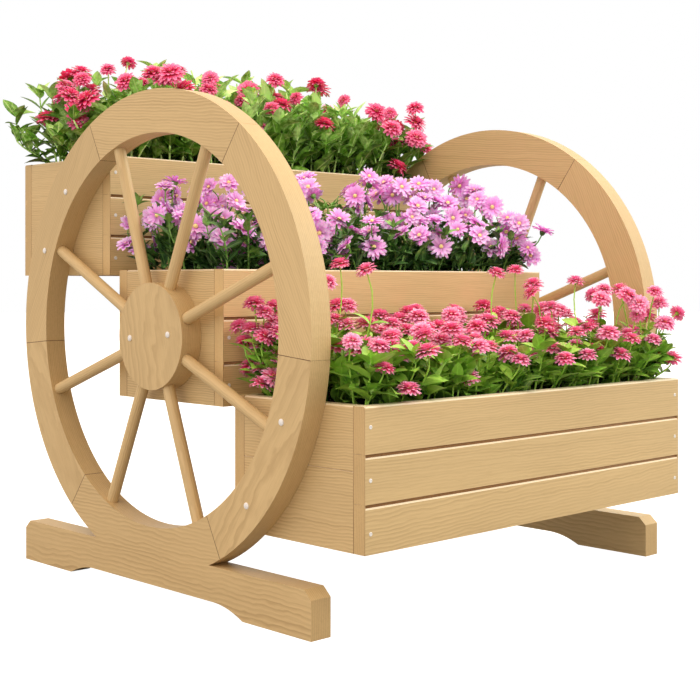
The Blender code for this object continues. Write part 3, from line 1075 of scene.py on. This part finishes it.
# Dark, middle and light green of each tier's leaves; lower leaves lean to the dark end as painted
# shade.
LEAVES = {
    "front": ((0.054, 0.152, 0.018), (0.215, 0.43, 0.042), (0.34, 0.58, 0.080)),
    "middle": ((0.013, 0.045, 0.012), (0.054, 0.150, 0.030), (0.23, 0.43, 0.095)),
    "top": ((0.023, 0.070, 0.009), (0.140, 0.32, 0.024), (0.60, 0.86, 0.30)),
}
# Root, middle and tip colours of the petals; the deep root colours are partly the petals' own and
# partly painted shade in the heads' middles.
CORAL = ((0.98, 0.040, 0.17), (1.00, 0.20, 0.40), (1.00, 0.43, 0.64))
LILAC = ((0.80, 0.18, 0.62), (0.95, 0.38, 0.86), (1.00, 0.64, 1.00))
CRIMSON = ((0.70, 0.010, 0.09), (0.90, 0.062, 0.22), (1.00, 0.26, 0.46))
WARM_EYE = ((0.70, 0.10, 0.10), (0.90, 0.45, 0.14))
YELLOW_EYE = ((0.72, 0.50, 0.12), (0.92, 0.80, 0.30))


def plant_front():
    bed = Bed("front", LOOKS["front"], seed=11)
    bed.place(FRONT_TALL, (0.0125, 0.0155))
    bed.clumps(FRONT_ENDS, (0.0125, 0.0165), 0.017)
    bed.scatter(112, front_level, (0.0125, 0.0175), 0.023)
    bed.shoots(16, 5, lambda u, v: 0.045 + 0.02 * v)
    bed.fill(500, bed.high[2] - 0.01, bed.rim + 0.02)
    return bed


def plant_middle():
    bed = Bed("middle", LOOKS["middle"], seed=23)
    bed.clumps(MIDDLE_CLUMPS, (0.0150, 0.0205), 0.016)
    bed.shoots(17, 6, lambda u, v: 0.055 + 0.045 * v)
    bed.fill(800, bed.high[2] - 0.01, bed.rim + 0.03)
    bed.fill(600, bed.rim, bed.rim + 0.025)
    return bed


def plant_top():
    bed = Bed("top", LOOKS["top"], seed=37)
    bed.place(TOP_TALL, (0.0110, 0.0130))
    bed.clumps(TOP_SPRAYS, (0.0120, 0.0215), 0.017)
    bed.scatter(8, top_level, (0.0100, 0.0150), 0.030)
    bed.shoots(19, 7, top_crown)
    for x, y, level in TOP_END_SHOOTS:
        bed.shoot(x, y, level)
    bed.fill(650, bed.high[2] - 0.01, bed.rim + 0.05)
    return bed


def make_plants():
    soil = soil_material()
    for tier in TIERS:
        wear(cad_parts[f"{tier}_soil"], soil)
    greens = {tier: leaf_material(f"{tier}_leaf", *LEAVES[tier]) for tier in TIERS}
    coral = petal_material("coral_petal", *CORAL)
    lilac = petal_material("lilac_petal", *LILAC)
    crimson = petal_material("crimson_petal", *CRIMSON)
    warm_eye = eye_material("warm_eye", *WARM_EYE)
    yellow_eye = eye_material("yellow_eye", *YELLOW_EYE)
    plant_front().finish(greens["front"], coral, warm_eye)
    plant_middle().finish(greens["middle"], lilac, yellow_eye)
    plant_top().finish(greens["top"], crimson, warm_eye)


# ---- stage

FLOOR_REACH = 14.0
FLOOR_GAP = 0.0004
LAMP_TARGET = Vector((0.0, 0.0, 0.3))
KEY_POWER = 60.0
PLANT_POWER = 50.0
# The sky's colour straight along each axis; it fades with the square of the cosine.
SKY = {
    (0, 0, 1): (1.86, 1.42, 1.08),
    (0, -1, 0): (0.13, 0.08, 0.06),
    (0, 1, 0): (0.40, 0.40, 0.42),
    (1, 0, 0): (2.20, 2.50, 2.45),
    (-1, 0, 0): (1.75, 1.70, 1.68),
}
CAMERA_PLACE = (-1.288, -1.352, 0.388)
CAMERA_TURN = -43.86
CAMERA_LENS = 67.46
CAMERA_SENSOR = 36.0
CAMERA_SHIFT = (0.0, -0.095)


def floor_material():
    """White to the camera, and a pale grey that takes part in the light otherwise."""
    material, n = new_material("pale_floor")
    speck = n.noise(n.spot(), 3.0)
    n.colour(n.ramp(speck, [(0.0, (0.33, 0.33, 0.33)), (1.0, (0.37, 0.37, 0.37))]))
    n.surface(0.9)
    n.shader.inputs["Emission Color"].default_value = (*WHITE, 1.0)
    n.link(n.add("ShaderNodeLightPath").outputs["Is Camera Ray"],
           n.shader.inputs["Emission Strength"])
    return material


def make_stage():
    mesh = bpy.data.meshes.new("floor")
    signs = ((-1, -1), (1, -1), (1, 1), (-1, 1))
    corners = [(x * FLOOR_REACH, y * FLOOR_REACH, 0) for x, y in signs]
    mesh.from_pydata(corners, [], [(0, 1, 2, 3)])
    mesh.materials.append(floor_material())
    floor = add_object("floor", mesh)
    floor.location.z = CAD_BOX[0].z - FLOOR_GAP

    bpy.context.scene.world = studio_world()
    bpy.context.scene.view_settings.view_transform = "Standard"
    add_lamp("key", (1.9, -2.7, 2.6), 1.8, KEY_POWER, (0.98, 1.0, 0.97))
    soft = add_lamp("plants", (-1.6, -1.9, 2.2), 2.4, PLANT_POWER, (1.0, 0.96, 0.94))
    soft.light_linking.receiver_collection = PLANTS


def studio_world():
    """A white backdrop for the camera, and soft light that differs by direction."""
    world = bpy.data.worlds.new("studio")
    n = Nodes(world)
    n.tree.nodes.clear()
    direction = n.add("ShaderNodeTexCoord").outputs["Generated"]
    total = BLACK
    for axis, colour in SKY.items():
        front = n.math("MAXIMUM", n.vector("DOT_PRODUCT", direction, axis), 0.0)
        square = n.math("MULTIPLY", front, front)
        total = n.vector("ADD", total, n.vector("MULTIPLY", colour, square))
    light = n.add("ShaderNodeBackground")
    n.link(total, light.inputs["Color"])
    backdrop = n.add("ShaderNodeBackground")
    backdrop.inputs["Color"].default_value = (*WHITE, 1.0)
    choose = n.add("ShaderNodeMixShader")
    n.link(n.add("ShaderNodeLightPath").outputs["Is Camera Ray"], choose.inputs[0])
    n.link(light.outputs[0], choose.inputs[1])
    n.link(backdrop.outputs[0], choose.inputs[2])
    n.link(choose.outputs[0], n.add("ShaderNodeOutputWorld").inputs["Surface"])
    return world


def add_lamp(name, place, size, power, colour):
    """A square lamp that faces the middle of the object."""
    lamp = bpy.data.lights.new(name, "AREA")
    lamp.size = size
    lamp.energy = power
    lamp.color = colour
    holder = add_object(name, lamp)
    holder.location = place
    holder.rotation_mode = "QUATERNION"
    holder.rotation_quaternion = (Vector(place) - LAMP_TARGET).to_track_quat("Z", "Y")
    return holder


def make_camera():
    data = bpy.data.cameras.new("camera")
    data.lens = CAMERA_LENS
    data.sensor_width = CAMERA_SENSOR
    data.shift_x, data.shift_y = CAMERA_SHIFT
    camera = add_object("camera", data)
    camera.location = CAMERA_PLACE
    camera.rotation_euler = (math.radians(90), 0.0, math.radians(CAMERA_TURN))
    bpy.context.scene.camera = camera


make_stage()
make_camera()
dress_wheels()
dress_boxes()
make_fasteners()
make_joint_lines()
make_plants()
